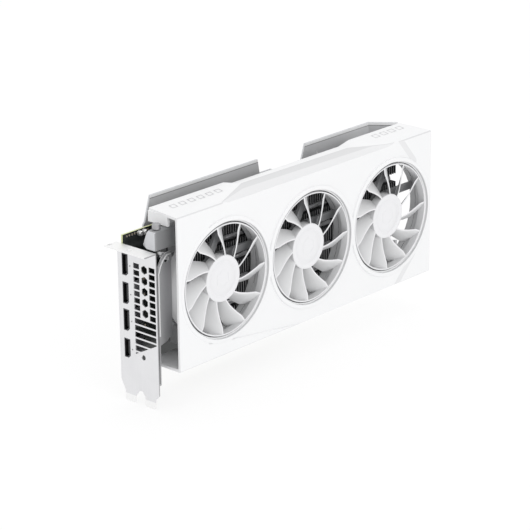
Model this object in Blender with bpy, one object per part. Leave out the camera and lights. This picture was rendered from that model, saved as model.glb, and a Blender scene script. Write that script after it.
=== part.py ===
"""A three-fan graphics card: slot bracket, circuit board, cooler, fans, shroud and backplate.

Sizes are millimetres, measured from the card's own corner: x from the bracket's outer face along
the card, y from the solder side towards the back (the fans face -y), z up from the tongue tips.
spot() turns such a point into Blender's metres, with the origin under the edge connector.
"""

import math

import bmesh
import bpy
from mathutils import Matrix, Vector

METRES_PER_MM = 0.001
FIT_GAP = 0.3

# Edge connector: the long row of contacts is what seats in the slot.
CONTACT_LEFT, CONTACT_RIGHT = 58.95, 130.6
CONTACT_BOTTOM = 12.3

# Circuit board.
BOARD_BACK, BOARD_FRONT = -2.8, -4.37
BOARD_LEFT, BOARD_RIGHT = 1.5, 200.0
BOARD_BOTTOM, BOARD_TOP = 20.5, 126.0
# Capacitors: x, z, radius and height.
CAPACITORS = (
    (17.5, 123.6, 2.0, 3.4),
    (22.0, 123.6, 2.0, 3.4),
    (182.5, 108.0, 3.1, 6.5),
    (192.0, 108.0, 3.1, 6.5),
)
ORIGIN = Vector(((CONTACT_LEFT + CONTACT_RIGHT) / 2, (BOARD_BACK + BOARD_FRONT) / 2, CONTACT_BOTTOM))

# Slot bracket, after the standard full-height two-slot plate.
BRACKET_TOP = 120.0
BRACKET_EDGE = -38.74
BRACKET_SHEET = 0.9
SLOT_PITCH = 20.32
TONGUE_WIDTH = 10.19
FIRST_TONGUE = -14.305
TAB_REACH, EAR_REACH = 11.0, 15.2

# Vent holes in the bracket.
VENT_TOP, VENT_PITCH, VENT_HEIGHT = 108.5, 5.25, 4.0
SPLIT_VENTS, WIDE_VENTS = 8, 6
VENT_LEFT, VENT_RIGHT = -15.9, -37.4
SIDE_VENT_WIDTH = 5.9
HEXAGON_VENTS, HEXAGON_PITCH, HEXAGON_RADIUS = 5, 8.3, 3.3
HEXAGON_MIDDLE = -26.9

# Display sockets: name, middle height, length along z.
SOCKET_BACK, SOCKET_FRONT = BOARD_FRONT - FIT_GAP, -10.2
SOCKET_DEPTH = 14.0
SOCKETS = (
    ("displayport_1", 105.0, 15.9),
    ("displayport_2", 83.3, 15.9),
    ("displayport_3", 62.7, 15.9),
    ("hdmi_port", 41.0, 14.1),
)

# Graphics chip, memory and regulator parts on the board's front.
CHIP_X, CHIP_Z = 105.0, 84.0
PACKAGE_SIZE, DIE_SIZE = 44.0, 24.0
PACKAGE_HEIGHT, DIE_HEIGHT = 1.2, 0.8
MEMORY_WIDTH, MEMORY_LENGTH, MEMORY_HEIGHT = 12.0, 14.0, 1.1
RETAINER_SPACING = 27.0

# Cooler.
PLATE_BACK, PLATE_FRONT = -7.3, -10.1
PIPE_RADIUS = 3.0
PIPE_BACK, PIPE_FRONT = -13.4, -28.4
PIPE_HEIGHTS = (58.0, 75.0, 92.0, 109.0)
FIN_BACK, FIN_FRONT = -17.0, -31.8
FIN_LEFT, FIN_RIGHT = 34.0, 272.6
FIN_BOTTOM, FIN_TOP = 38.0, 134.0
FIN_COUNT, FIN_THICKNESS = 24, 0.8

# Shroud.
SHROUD_LEFT, SHROUD_RIGHT = 11.6, 294.5
SHROUD_BOTTOM, SHROUD_TOP = 29.0, 145.7
SHROUD_FACE, SHROUD_REAR = -49.3, -17.0
SHROUD_WALL = 2.0
TOP_LEFT_SLANT = 4.4
DUCT_REAR, DUCT_WALL = -37.8, 1.4
LIP_HEIGHT, LIP_WIDTH = 0.5, 3.2

# Fans.
FAN_PITCH, FAN_COUNT = 92.8, 3
FIRST_FAN_X, FAN_Z = 61.4, 86.2
OPENING_RADIUS = 44.3
RING_RADIUS, RING_THICKNESS = 42.4, 1.0
RING_FRONT, RING_BACK = -48.3, -42.3
HUB_RADIUS, HUB_FRONT, HUB_BACK = 17.75, -45.4, -38.4
BLADE_COUNT, BLADE_THICKNESS = 11, 0.9
# Radius, then the angles of the leading and the trailing edge. The edge is straight, then bends near the tip.
BLADE_STATIONS = (
    (16.75, -16.9, -34.6),
    (26.0, -6.8, -24.3),
    (31.0, -2.3, -20.4),
    (36.5, 1.9, -17.3),
    (41.9, 2.6, -12.0),
)
BLADE_ROOT_FRONT, BLADE_TIP_FRONT, BLADE_BACK = -45.2, -48.0, -38.7
MOTOR_RADIUS, MOTOR_FRONT = 15.0, -43.0
STRUT_BACK, STRUT_FRONT = -34.6, -37.4
# Each strut leaves the motor sideways: its direction, and how far its centre line passes from the axis.
STRUTS, STRUT_WIDTH = ((0.0, 14.3), (62.0, 11.4), (150.0, 13.0), (238.0, 13.0)), 5.6
FRAME_RADIUS, FRAME_WIDTH, FRAME_BACK = 45.2, 1.9, -32.3

# Backplate.
COVER_INNER, COVER_OUTER = 0.3, 1.8
COVER_RIGHT = 277.3
COVER_TOP = 146.5
COVER_NOTCH_TOP = 135.4


def spot(x, y, z):
    """A point of the card in Blender's metres."""
    return (Vector((x, y, z)) - ORIGIN) * METRES_PER_MM


def clear_scene():
    for old in list(bpy.data.objects):
        bpy.data.objects.remove(old, do_unlink=True)


def make_material(name, color, roughness, metallic=0.0):
    material = bpy.data.materials.new(name)
    material.use_nodes = True
    shader = material.node_tree.nodes["Principled BSDF"]
    shader.inputs["Base Color"].default_value = (*color, 1.0)
    shader.inputs["Roughness"].default_value = roughness
    shader.inputs["Metallic"].default_value = metallic
    material.diffuse_color = (*color, 1.0)
    return material


def place(name, shape, material, pivot=None):
    """Turn a bmesh in card millimetres into a named object whose origin is at the pivot."""
    pivot = Vector(pivot) if pivot else ORIGIN
    bmesh.ops.translate(shape, verts=shape.verts, vec=-pivot)
    bmesh.ops.scale(shape, verts=shape.verts, vec=Vector((1, 1, 1)) * METRES_PER_MM)
    bmesh.ops.recalc_face_normals(shape, faces=shape.faces)
    mesh = bpy.data.meshes.new(name)
    shape.to_mesh(mesh)
    shape.free()
    made = bpy.data.objects.new(name, mesh)
    made.location = spot(*pivot)
    bpy.context.scene.collection.objects.link(made)
    if material:
        mesh.materials.append(material)
    return made


def combine(target, shape, operation, label):
    """Add or cut a bmesh in card millimetres with an exact Boolean on a hidden helper."""
    helper = place(f"{target.name}_{label}", shape, None)
    helper.hide_render = True
    helper.display_type = "WIRE"
    step = target.modifiers.new(label, "BOOLEAN")
    step.operation = operation
    step.solver = "EXACT"
    step.object = helper


def fuse(target, shape, label):
    combine(target, shape, "UNION", label)


def cut(target, shape, label):
    combine(target, shape, "DIFFERENCE", label)


def add_box(shape, low, high):
    low, high = Vector(low), Vector(high)
    corner = Matrix.Translation((low + high) / 2) @ Matrix.Diagonal((*(high - low), 1))
    bmesh.ops.create_cube(shape, size=1, matrix=corner)


def box(low, high):
    shape = bmesh.new()
    add_box(shape, low, high)
    return shape


def lift(flat, axis, level):
    """A flat (a, b) point as (x, y, z), with the named axis at the given level."""
    a, b = flat
    return {"X": (level, a, b), "Y": (a, level, b), "Z": (a, b, level)}[axis]


def add_prism(shape, outline, axis, start, end, holes=()):
    """A plate: an outline with holes, pushed along an axis from start to end."""
    edges = []
    for loop in (outline, *holes):
        corners = [shape.verts.new(lift(point, axis, start)) for point in loop]
        edges += [shape.edges.new((corners[i - 1], corners[i])) for i in range(len(corners))]
    filled = bmesh.ops.triangle_fill(shape, use_beauty=True, edges=edges)
    faces = [item for item in filled["geom"] if isinstance(item, bmesh.types.BMFace)]
    pushed = bmesh.ops.extrude_face_region(shape, geom=faces)
    moved = [item for item in pushed["geom"] if isinstance(item, bmesh.types.BMVert)]
    bmesh.ops.translate(shape, verts=moved, vec=lift((0, 0), axis, end - start))


def prism(outline, axis, start, end, holes=()):
    shape = bmesh.new()
    add_prism(shape, outline, axis, start, end, holes)
    return shape


def circle(centre, radius, sides, phase=0.0):
    a, b = centre
    turns = [math.radians(phase) + math.tau * i / sides for i in range(sides)]
    return [(a + radius * math.cos(turn), b + radius * math.sin(turn)) for turn in turns]


def rectangle(left, right, bottom, top):
    return [(left, bottom), (right, bottom), (right, top), (left, top)]


def ring(centre, outer, inner, axis, start, end, sides):
    return prism(circle(centre, outer, sides), axis, start, end, [circle(centre, inner, sides)])


def clip_below(outline, height_at):
    """Keep the part of an outline that lies above a sloping line."""
    kept = []
    for i, (a, b) in enumerate(outline):
        before_a, before_b = outline[i - 1]
        over, over_before = b - height_at(a), before_b - height_at(before_a)
        if (over > 0) != (over_before > 0):
            share = over_before / (over_before - over)
            kept.append((before_a + share * (a - before_a), before_b + share * (b - before_b)))
        if over > 0:
            kept.append((a, b))
    return kept


# Bracket -----------------------------------------------------------------------------------


def bracket_outline():
    """The plate seen from outside as (y, z), with two tongues at the bottom."""
    outline = [(0, BRACKET_TOP), (0, 15.5)]
    for slot in range(2):
        right = FIRST_TONGUE - slot * SLOT_PITCH
        left = right + TONGUE_WIDTH
        outline += [(left, 7.5), (left, 0.8), (left - 0.8, 0)]
        outline += [(right + 0.8, 0), (right, 0.8), (right, 7.5 if slot else 5.2)]
        if slot == 0:
            outline += [(right - 3.9, 10.4), (right - 7.2, 10.8)]
    return outline + [(BRACKET_EDGE, 11.5), (BRACKET_EDGE, BRACKET_TOP)]


def vent_floor(y):
    """The sloping lower border of the vent field."""
    return 38.5 + 0.53 * (VENT_LEFT - y)


def vent_holes():
    holes = []
    for row in range(SPLIT_VENTS + WIDE_VENTS):
        top = VENT_TOP - row * VENT_PITCH
        if row < SPLIT_VENTS:
            holes.append(rectangle(VENT_LEFT - SIDE_VENT_WIDTH, VENT_LEFT, top - VENT_HEIGHT, top))
            holes.append(rectangle(VENT_RIGHT, VENT_RIGHT + SIDE_VENT_WIDTH, top - VENT_HEIGHT, top))
        else:
            slot = rectangle(VENT_RIGHT, VENT_LEFT, top - VENT_HEIGHT, top)
            holes.append(clip_below(slot, vent_floor))
    for row in range(HEXAGON_VENTS):
        middle = VENT_TOP - HEXAGON_RADIUS - row * HEXAGON_PITCH
        holes.append(circle((HEXAGON_MIDDLE, middle), HEXAGON_RADIUS, 6, 90))
    return holes


def socket_outline(middle, length, grow):
    """The mouth of a display socket as (y, z), with the key corner cut off."""
    back, front = SOCKET_BACK + grow, SOCKET_FRONT - grow
    low, high = middle - length / 2 - grow, middle + length / 2 + grow
    return [(back, low), (back, high), (front, high), (front, low + 2.0), (front + 2.0, low)]


def make_bracket(material):
    holes = vent_holes()
    for _, middle, length in SOCKETS:
        holes.append(socket_outline(middle, length, FIT_GAP))
        holes.append(circle((-12.6, middle), 0.6, 6))
    holes.append(circle((-23.9, 37.7), 2.0, 12))
    plate = prism(bracket_outline(), "X", 0, BRACKET_SHEET, holes)
    bracket = place("io_bracket", plate, material)

    screw_slots = [
        circle((-6.4, -SLOT_PITCH + 1.0), 2.2, 10),
        [(-8.6, -0.8), (-4.2, -0.8), (-4.2, 1.2), (-8.6, 1.2)],
    ]
    tab_outline = rectangle(-TAB_REACH, BRACKET_SHEET, BRACKET_EDGE, 1.7)
    tab = prism(tab_outline, "Z", BRACKET_TOP - BRACKET_SHEET, BRACKET_TOP, screw_slots)
    fuse(bracket, tab, "tab")

    ear_outline = [(0, 19.5), (0, 104), (2.2, 110), (5.5, 115), (10, 118.5), (EAR_REACH, 118.5)]
    ear_outline += [(EAR_REACH, 56), (9.7, 51.8), (3, 50), (2.7, 19.5)]
    ear_holes = [circle((10.7, 113.4), 2.4, 12)]
    ear = prism(ear_outline, "Y", BRACKET_EDGE, BRACKET_EDGE + BRACKET_SHEET, ear_holes)
    fuse(bracket, ear, "ear")


def make_sockets(shell_material, tongue_material):
    for name, middle, length in SOCKETS:
        shell = place(
            name,
            prism(socket_outline(middle, length, 0), "X", -0.2, SOCKET_DEPTH),
            shell_material,
        )
        cut(shell, prism(socket_outline(middle, length, -0.5), "X", -1, SOCKET_DEPTH - 0.8), "mouth")
        centre = (SOCKET_BACK + SOCKET_FRONT) / 2
        reach = length / 2 - 2.2
        tongue = box((1.6, centre - 0.8, middle - reach), (12.9, centre + 0.8, middle + reach))
        place(f"{name}_tongue", tongue, tongue_material)


# Board -------------------------------------------------------------------------------------


def board_outline():
    """The board seen from the front as (x, z), with the edge connector at the bottom."""
    outline = [(BOARD_LEFT, BOARD_TOP), (BOARD_LEFT, 24.0), (5.0, BOARD_BOTTOM)]
    for left, right in ((45.4, 57.05), (CONTACT_LEFT, CONTACT_RIGHT)):
        outline += [(left, BOARD_BOTTOM), (left, CONTACT_BOTTOM + 0.7), (left + 0.7, CONTACT_BOTTOM)]
        outline += [(right - 0.7, CONTACT_BOTTOM), (right, CONTACT_BOTTOM + 0.7), (right, BOARD_BOTTOM)]
    outline += [(133.6, BOARD_BOTTOM), (133.6, 16.0), (135.6, 13.0), (140.0, 13.0), (141.2, 15.0)]
    return outline + [(141.2, BOARD_BOTTOM), (BOARD_RIGHT, BOARD_BOTTOM), (BOARD_RIGHT, BOARD_TOP)]


def retainer_spots():
    for side in (-1, 1):
        for level in (-1, 1):
            yield CHIP_X + side * RETAINER_SPACING, CHIP_Z + level * RETAINER_SPACING


def make_board(material):
    holes = [circle(place_xz, 1.7, 8) for place_xz in retainer_spots()]
    place("pcb", prism(board_outline(), "Y", BOARD_BACK, BOARD_FRONT, holes), material)


def make_chips(materials):
    base = BOARD_FRONT - FIT_GAP
    half = PACKAGE_SIZE / 2
    package_front = base - PACKAGE_HEIGHT
    package = box((CHIP_X - half, package_front, CHIP_Z - half), (CHIP_X + half, base, CHIP_Z + half))
    place("gpu_package", package, materials["package"])

    half = DIE_SIZE / 2
    die_back = package_front - FIT_GAP
    low = (CHIP_X - half, die_back - DIE_HEIGHT, CHIP_Z - half)
    place("gpu_die", box(low, (CHIP_X + half, die_back, CHIP_Z + half)), materials["silicon"])

    spots = [(CHIP_X + side * 36.0, CHIP_Z + level * 17.0) for side in (-1, 1) for level in (-1, 0, 1)]
    spots += [(CHIP_X - 9.0, CHIP_Z + 33.0), (CHIP_X + 9.0, CHIP_Z + 33.0)]
    for number, (x, z) in enumerate(spots, 1):
        width, length = MEMORY_WIDTH / 2, MEMORY_LENGTH / 2
        memory = box((x - width, base - MEMORY_HEIGHT, z - length), (x + width, base, z + length))
        place(f"memory_chip_{number}", memory, materials["package"])

    for number in range(1, 7):
        z = 28.0 + 12.5 * number
        choke = box((166, base - 5.2, z - 4.6), (175, base, z + 4.6))
        place(f"power_choke_{number}", choke, materials["choke"])

    for number, (x, z, radius, height) in enumerate(CAPACITORS, 1):
        can = prism(circle((x, z), radius, 12), "Y", base - height, base)
        place(f"capacitor_{number}", can, materials["can"])


def make_power_sockets(material):
    for number, left in enumerate((153.5, 174.5), 1):
        low, high = (left, -14.6, 113.5), (left + 19.6, BOARD_FRONT - FIT_GAP, 127.5)
        socket = place(f"power_socket_{number}", box(low, high), material)
        pockets = bmesh.new()
        for column in range(4):
            for row in range(2):
                x = left + 1.2 + column * 4.5
                y = -13.8 + row * 4.5
                add_box(pockets, (x, y, 116.5), (x + 3.7, y + 3.7, 130))
        cut(socket, pockets, "pockets")


# Cooler ------------------------------------------------------------------------------------


def make_cold_plate(material):
    plate = box((56, PLATE_FRONT, 46), (152, PLATE_BACK, 122))
    place("cold_plate", plate, material)


def fin_outline(top):
    """One fin seen along the card as (y, z), with a notch at the front for each heat pipe."""
    outline = [(FIN_BACK - 0.4, top), (FIN_BACK - 0.4, FIN_BOTTOM), (FIN_FRONT, FIN_BOTTOM)]
    reach = PIPE_RADIUS + FIT_GAP
    for height in PIPE_HEIGHTS:
        floor = PIPE_FRONT + reach
        outline += [(FIN_FRONT, height - reach), (floor, height - reach)]
        outline += [(floor, height + reach), (FIN_FRONT, height + reach)]
    return outline + [(FIN_FRONT, top)]


def make_fin_stack(material):
    stack = place(
        "fin_stack", box((FIN_LEFT, FIN_BACK - 0.8, FIN_BOTTOM), (FIN_RIGHT, FIN_BACK, FIN_TOP)), material
    )
    fins = bmesh.new()
    pitch = (FIN_RIGHT - FIN_LEFT - FIN_THICKNESS) / (FIN_COUNT - 1)
    for number in range(FIN_COUNT):
        left = FIN_LEFT + number * pitch
        add_prism(fins, fin_outline(FIN_TOP), "X", left, left + FIN_THICKNESS)
    fuse(stack, fins, "fins")


def make_heat_pipes(material):
    """Each pipe runs left from the cold plate, turns back and runs right in the fins' notches."""
    middle = (PIPE_BACK + PIPE_FRONT) / 2
    bend = (PIPE_BACK - PIPE_FRONT) / 2
    turn_x = FIN_LEFT - 4.0
    for number, height in enumerate(PIPE_HEIGHTS, 1):
        route = [(148.0, PIPE_BACK)]
        for step in range(9):
            turn = math.pi / 2 + math.pi * step / 8
            route.append((turn_x + bend * math.cos(turn), middle + bend * math.sin(turn)))
        route.append((FIN_RIGHT - 6.0, PIPE_FRONT))
        line = bpy.data.curves.new(f"heat_pipe_{number}", "CURVE")
        line.dimensions = "3D"
        line.bevel_depth = PIPE_RADIUS * METRES_PER_MM
        line.bevel_resolution = 2
        line.use_fill_caps = True
        path = line.splines.new("POLY")
        path.points.add(len(route) - 1)
        for point, (x, y) in zip(path.points, route):
            point.co = (*spot(x, y, height), 1)
        line.materials.append(material)
        bpy.context.scene.collection.objects.link(bpy.data.objects.new(line.name, line))


def make_support_arm(material, screw_material):
    """The cast arm that ties the bracket's top to the cooler."""
    outline = [(1.2, -37.5), (29.8, -37.5), (29.8, -19.2), (6.2, -19.2), (1.2, -28.6)]
    arm = place("support_arm", prism(outline, "Z", 120.6, 135.7), material)
    behind = [(-15.0, 118.0), (-17.6, 118.0), (-31.0, 136.5), (-15.0, 136.5)]
    cut(arm, prism(behind, "X", -1.0, 32.0), "slope")
    cut(arm, box((5.5, -34.0, 119), (26.0, -28.5, 130.5)), "hollow")
    screw = prism(circle((6.4, -33.9), 3.1, 16), "Z", 136.0, 140.0)
    place("arm_screw", screw, screw_material)


# Shroud ------------------------------------------------------------------------------------


def shroud_profile(front_z, crease_y, crease_z, rear_z, inset):
    """Half of the shell's C-shaped section as (y, z), from the top rear round to the bottom rear."""
    face, bottom, top = SHROUD_FACE + inset, SHROUD_BOTTOM + inset, front_z - inset
    return [
        (SHROUD_REAR, rear_z - inset),
        (crease_y + inset / 2, crease_z - inset),
        (face + 1, top),
        (face, top - 1),
        (face, bottom + 1),
        (face + 1, bottom),
        (SHROUD_REAR, bottom),
    ]


def shroud_shell():
    """Sections along x. Between the two ends the top slopes up to a crease, then down to the rear edge."""
    top = SHROUD_TOP
    stations = (
        (SHROUD_LEFT, top, -44.5, top, top),
        (59.0, top, -45.0, top, top),
        (66.0, top - 1.6, -43.0, top, top),
        (92.4, top - 1.6, -33.4, top - 0.2, top - 0.3),
        (99.0, top - 1.6, -31.2, top - 0.2, top - 1.8),
        (221.0, top - 1.6, -31.8, top - 0.2, top - 1.8),
        (233.0, top - 1.6, -39.0, top - 0.1, top - 0.1),
        (243.0, top - 1.6, -43.0, top, top),
        (250.0, top, -45.0, top, top),
        (SHROUD_RIGHT, top, -44.5, top, top),
    )
    shape = bmesh.new()
    rows = []
    for x, front_z, crease_y, crease_z, rear_z in stations:
        outside = shroud_profile(front_z, crease_y, crease_z, rear_z, 0)
        inside = shroud_profile(front_z, crease_y, crease_z, rear_z, SHROUD_WALL)
        row = []
        for y, z in outside + inside[::-1]:
            on_slanted_end = x == SHROUD_LEFT and z > FAN_Z
            slant = TOP_LEFT_SLANT * (y - SHROUD_FACE) / (SHROUD_REAR - SHROUD_FACE)
            row.append(shape.verts.new((x + slant * on_slanted_end, y, z)))
        rows.append(row)
    for before, after in zip(rows, rows[1:]):
        for i in range(len(before)):
            shape.faces.new((before[i - 1], before[i], after[i], after[i - 1]))
    for row in (rows[0], rows[-1]):
        for i in range(len(row) // 2 - 1):
            shape.faces.new((row[i], row[i + 1], row[-2 - i], row[-1 - i]))
    bmesh.ops.triangulate(shape, faces=shape.faces[:])
    return shape


def fan_centres():
    return [(FIRST_FAN_X + i * FAN_PITCH, FAN_Z) for i in range(FAN_COUNT)]


def make_shroud(material):
    shroud = place("shroud", shroud_shell(), material)
    inner_low, inner_high = SHROUD_BOTTOM + 1, SHROUD_TOP - 1
    end_low = (SHROUD_RIGHT - SHROUD_WALL, SHROUD_FACE + 1, inner_low)
    fuse(shroud, box(end_low, (SHROUD_RIGHT, SHROUD_REAR, inner_high)), "end_wall")
    fuse(shroud, box((14.0, -37.5, 136.3), (16.0, -18.0, 144.5)), "left_wall")
    for number, centre in enumerate(fan_centres(), 1):
        lip = OPENING_RADIUS + LIP_WIDTH
        collar = prism(circle(centre, lip, 48), "Y", SHROUD_FACE - LIP_HEIGHT, SHROUD_FACE + 0.5)
        fuse(shroud, collar, f"lip_{number}")
        duct = prism(circle(centre, OPENING_RADIUS + DUCT_WALL, 48), "Y", SHROUD_FACE + 1, DUCT_REAR)
        fuse(shroud, duct, f"duct_{number}")
    for number, centre in enumerate(fan_centres(), 1):
        opening = prism(circle(centre, OPENING_RADIUS, 48), "Y", SHROUD_FACE - 2, DUCT_REAR + 2)
        cut(shroud, opening, f"opening_{number}")
    vent = box((SHROUD_RIGHT - 3, DUCT_REAR + 1.5, 44), (SHROUD_RIGHT + 3, SHROUD_REAR + 3, 130))
    cut(shroud, vent, "end_vent")


# Fans --------------------------------------------------------------------------------------


def add_blade(shape, number):
    """One swept blade as a thin closed shell that leans forward towards the tip."""
    spans, chords = len(BLADE_STATIONS) - 1, 4
    inner, outer = BLADE_STATIONS[0][0], BLADE_STATIONS[-1][0]
    sheets = []
    for side in (-1, 1):
        sheet = []
        for radius, lead, trail in BLADE_STATIONS:
            out = (radius - inner) / (outer - inner)
            front = BLADE_ROOT_FRONT + (BLADE_TIP_FRONT - BLADE_ROOT_FRONT) * out
            line = []
            for j in range(chords + 1):
                back = j / chords
                turn = math.radians(lead + (trail - lead) * back ** 0.85 + 360 * number / BLADE_COUNT)
                depth = front + (BLADE_BACK - front) * back
                offset = side * BLADE_THICKNESS / 2 / radius
                across, up = radius * math.cos(turn + offset), radius * math.sin(turn + offset)
                line.append(shape.verts.new((across, depth, up)))
            sheet.append(line)
        sheets.append(sheet)
    near, far = sheets
    for i in range(spans):
        for j in range(chords):
            shape.faces.new((near[i][j], near[i + 1][j], near[i + 1][j + 1], near[i][j + 1]))
            shape.faces.new((far[i][j], far[i][j + 1], far[i + 1][j + 1], far[i + 1][j]))
        shape.faces.new((near[i][0], far[i][0], far[i + 1][0], near[i + 1][0]))
        shape.faces.new((near[i][-1], near[i + 1][-1], far[i + 1][-1], far[i][-1]))
    for j in range(chords):
        shape.faces.new((near[0][j], near[0][j + 1], far[0][j + 1], far[0][j]))
        shape.faces.new((near[-1][j], far[-1][j], far[-1][j + 1], near[-1][j + 1]))


def make_fan(number, centre, materials):
    x, z = centre
    pivot = (x, HUB_FRONT, z)
    hub = prism(circle(centre, HUB_RADIUS, 32), "Y", HUB_FRONT, HUB_BACK)
    rotor = place(f"fan_{number}_rotor", hub, materials["fan"], pivot)
    blades = bmesh.new()
    for blade in range(BLADE_COUNT):
        add_blade(blades, blade)
    bmesh.ops.translate(blades, verts=blades.verts, vec=(x, 0, z))
    fuse(rotor, blades, "blades")
    inner = RING_RADIUS - RING_THICKNESS
    fuse(rotor, ring(centre, RING_RADIUS, inner, "Y", RING_FRONT, RING_BACK, 48), "ring")
    cut(rotor, prism(circle(centre, HUB_RADIUS - 1.6, 24), "Y", HUB_FRONT + 1.6, HUB_BACK + 5), "cup")
    fuse(rotor, prism(circle(centre, 1.5, 12), "Y", HUB_FRONT + 1, STRUT_FRONT - 0.6), "shaft")

    frame = ring(centre, FRAME_RADIUS, FRAME_RADIUS - FRAME_WIDTH, "Y", STRUT_FRONT, FRAME_BACK, 48)
    motor = place(f"fan_{number}_motor", frame, materials["frame"])
    struts = bmesh.new()
    for heading, offset in STRUTS:
        turn = math.radians(heading)
        along, across = Vector((math.cos(turn), math.sin(turn))), Vector((-math.sin(turn), math.cos(turn)))
        reach = math.sqrt((FRAME_RADIUS - 1.2) ** 2 - offset**2)
        corners = []
        for out, side in ((0, -0.5), (0, 0.5), (reach, 0.5), (reach, -0.5)):
            point = Vector(centre) + along * out + across * (offset + side * STRUT_WIDTH)
            corners.append(tuple(point))
        add_prism(struts, corners, "Y", STRUT_FRONT + 0.2, STRUT_BACK - 0.2)
    fuse(motor, struts, "struts")
    fuse(motor, prism(circle(centre, MOTOR_RADIUS + 2, 32), "Y", STRUT_FRONT, STRUT_BACK), "base")
    fuse(motor, prism(circle(centre, MOTOR_RADIUS, 24), "Y", MOTOR_FRONT, STRUT_FRONT + 1), "stator")
    cut(motor, prism(circle(centre, 1.56, 12), "Y", MOTOR_FRONT - 1, STRUT_FRONT), "bore")


# Backplate ---------------------------------------------------------------------------------


def cover_outline():
    """The backplate seen from behind as (x, z), with a gap in the top edge for the power plugs."""
    outline = [(27.0, SHROUD_BOTTOM), (27.0, 125.6), (29.0, 128.0), (34.6, COVER_TOP), (148.3, COVER_TOP)]
    outline += [(150.3, COVER_NOTCH_TOP), (163.6, COVER_NOTCH_TOP), (166.0, 130.0), (196.5, 130.0)]
    outline += [(198.2, COVER_NOTCH_TOP), (202.0, COVER_TOP)]
    return outline + [(COVER_RIGHT, COVER_TOP), (COVER_RIGHT, SHROUD_BOTTOM)]


def cover_slots():
    """Slanted slots behind the fins that stand free of the board."""
    for number in range(5):
        left = 203.0 + number * 13.0
        yield [(left, 48.0), (left + 9.0, 48.0), (left + 16.0, 126.0), (left + 7.0, 126.0)]


def make_backplate(material):
    wide, narrow = RETAINER_SPACING + 7.0, RETAINER_SPACING - 1.0
    corners = [(wide, -narrow), (wide, narrow), (narrow, wide), (-narrow, wide)]
    corners += [(-wide, narrow), (-wide, -narrow), (-narrow, -wide), (narrow, -wide)]
    window = [(CHIP_X + a, CHIP_Z + b) for a, b in corners]
    outline = cover_outline()
    holes = [window, *cover_slots()]
    cover = place("backplate", prism(outline, "Y", COVER_INNER, COVER_OUTER, holes), material)
    side = [(COVER_RIGHT - 2, COVER_OUTER), (COVER_RIGHT - 2, COVER_INNER), (COVER_RIGHT, COVER_INNER)]
    side += [(291.3, -16.6), (293.4, -16.6), (COVER_RIGHT + 0.9, COVER_OUTER)]
    fuse(cover, prism(side, "Z", SHROUD_BOTTOM, COVER_TOP), "side")
    cut(cover, box((COVER_RIGHT + 1.5, -20, 48), (300, 5, 126)), "side_vent")


def make_retainer(material, screw_material):
    """The spring cross behind the chip and its four screws."""
    arms = bmesh.new()
    reach = RETAINER_SPACING
    for turn in (1, -1):
        a, b = Vector((reach, reach * turn)), Vector((2.6, -2.6 * turn))
        corners = [a + b, a - b, -a - b, -a + b]
        outline = [(CHIP_X + c.x, CHIP_Z + c.y) for c in corners]
        if turn == 1:
            add_prism(arms, outline, "Y", -2.3, -1.3)
            cross = place("chip_retainer", arms, material)
        else:
            fuse(cross, prism(outline, "Y", -2.3, -1.3), "second_arm")
    fuse(cross, prism(circle((CHIP_X, CHIP_Z), 9, 12), "Y", -2.3, -1.3), "centre")
    holes = bmesh.new()
    for spot_xz in retainer_spots():
        add_prism(holes, circle(spot_xz, 1.6, 8), "Y", -5, 2)
    cut(cross, holes, "holes")
    for number, spot_xz in enumerate(retainer_spots(), 1):
        screw = place(
            f"retainer_screw_{number}", prism(circle(spot_xz, 1.2, 8), "Y", -7.0, -0.5), screw_material
        )
        fuse(screw, prism(circle(spot_xz, 2.6, 10), "Y", -1.0, 0.8), "head")


def main():
    clear_scene()
    white = make_material("shroud_plastic", (0.86, 0.87, 0.89), 0.45)
    fan_plastic = make_material("fan_plastic", (0.80, 0.81, 0.83), 0.42)
    frame_plastic = make_material("frame_plastic", (0.62, 0.63, 0.65), 0.5)
    nickel = make_material("bracket_steel", (0.78, 0.78, 0.79), 0.28, 1.0)
    cast = make_material("arm_alloy", (0.50, 0.51, 0.52), 0.42, 0.8)
    painted = make_material("cover_paint", (0.60, 0.60, 0.62), 0.5, 0.3)
    copper = make_material("pipe_nickel", (0.60, 0.61, 0.62), 0.25, 1.0)
    black_fin = make_material("fin_black", (0.035, 0.036, 0.04), 0.5, 0.4)
    screw = make_material("screw_steel", (0.55, 0.56, 0.57), 0.3, 1.0)
    black = make_material("socket_black", (0.03, 0.03, 0.032), 0.5)
    board = make_material("board_black", (0.03, 0.035, 0.03), 0.4)
    shell = make_material("socket_shell", (0.35, 0.36, 0.37), 0.35, 1.0)
    chips = {
        "package": make_material("chip_package", (0.05, 0.055, 0.06), 0.5),
        "silicon": make_material("chip_silicon", (0.25, 0.26, 0.30), 0.12, 0.6),
        "choke": make_material("choke_ferrite", (0.22, 0.22, 0.23), 0.6),
        "can": make_material("capacitor_can", (0.72, 0.72, 0.70), 0.3, 1.0),
    }

    make_bracket(nickel)
    make_sockets(shell, black)
    make_board(board)
    make_chips(chips)
    make_power_sockets(black)
    make_cold_plate(copper)
    make_fin_stack(black_fin)
    make_heat_pipes(copper)
    make_support_arm(cast, screw)
    make_shroud(white)
    for number, centre in enumerate(fan_centres(), 1):
        make_fan(number, centre, {"fan": fan_plastic, "frame": frame_plastic})
    make_backplate(painted)
    make_retainer(cast, screw)


main()
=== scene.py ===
# %% [markdown]
# # A three-fan graphics card
# This lesson dresses a graphics card for its portrait. The working parts were designed first, as plain
# solids with real sizes and joints. Here each one gets its finished shape and its surface.
# Everything is given in millimetres from the card's own corner: x runs along the card from the slot
# bracket's outer face, y from the fans' side to the backplate, z up from the bracket's tongue tips.

# %% Load the working parts
import math

import bmesh
import bpy
from mathutils import Matrix, Vector


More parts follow.
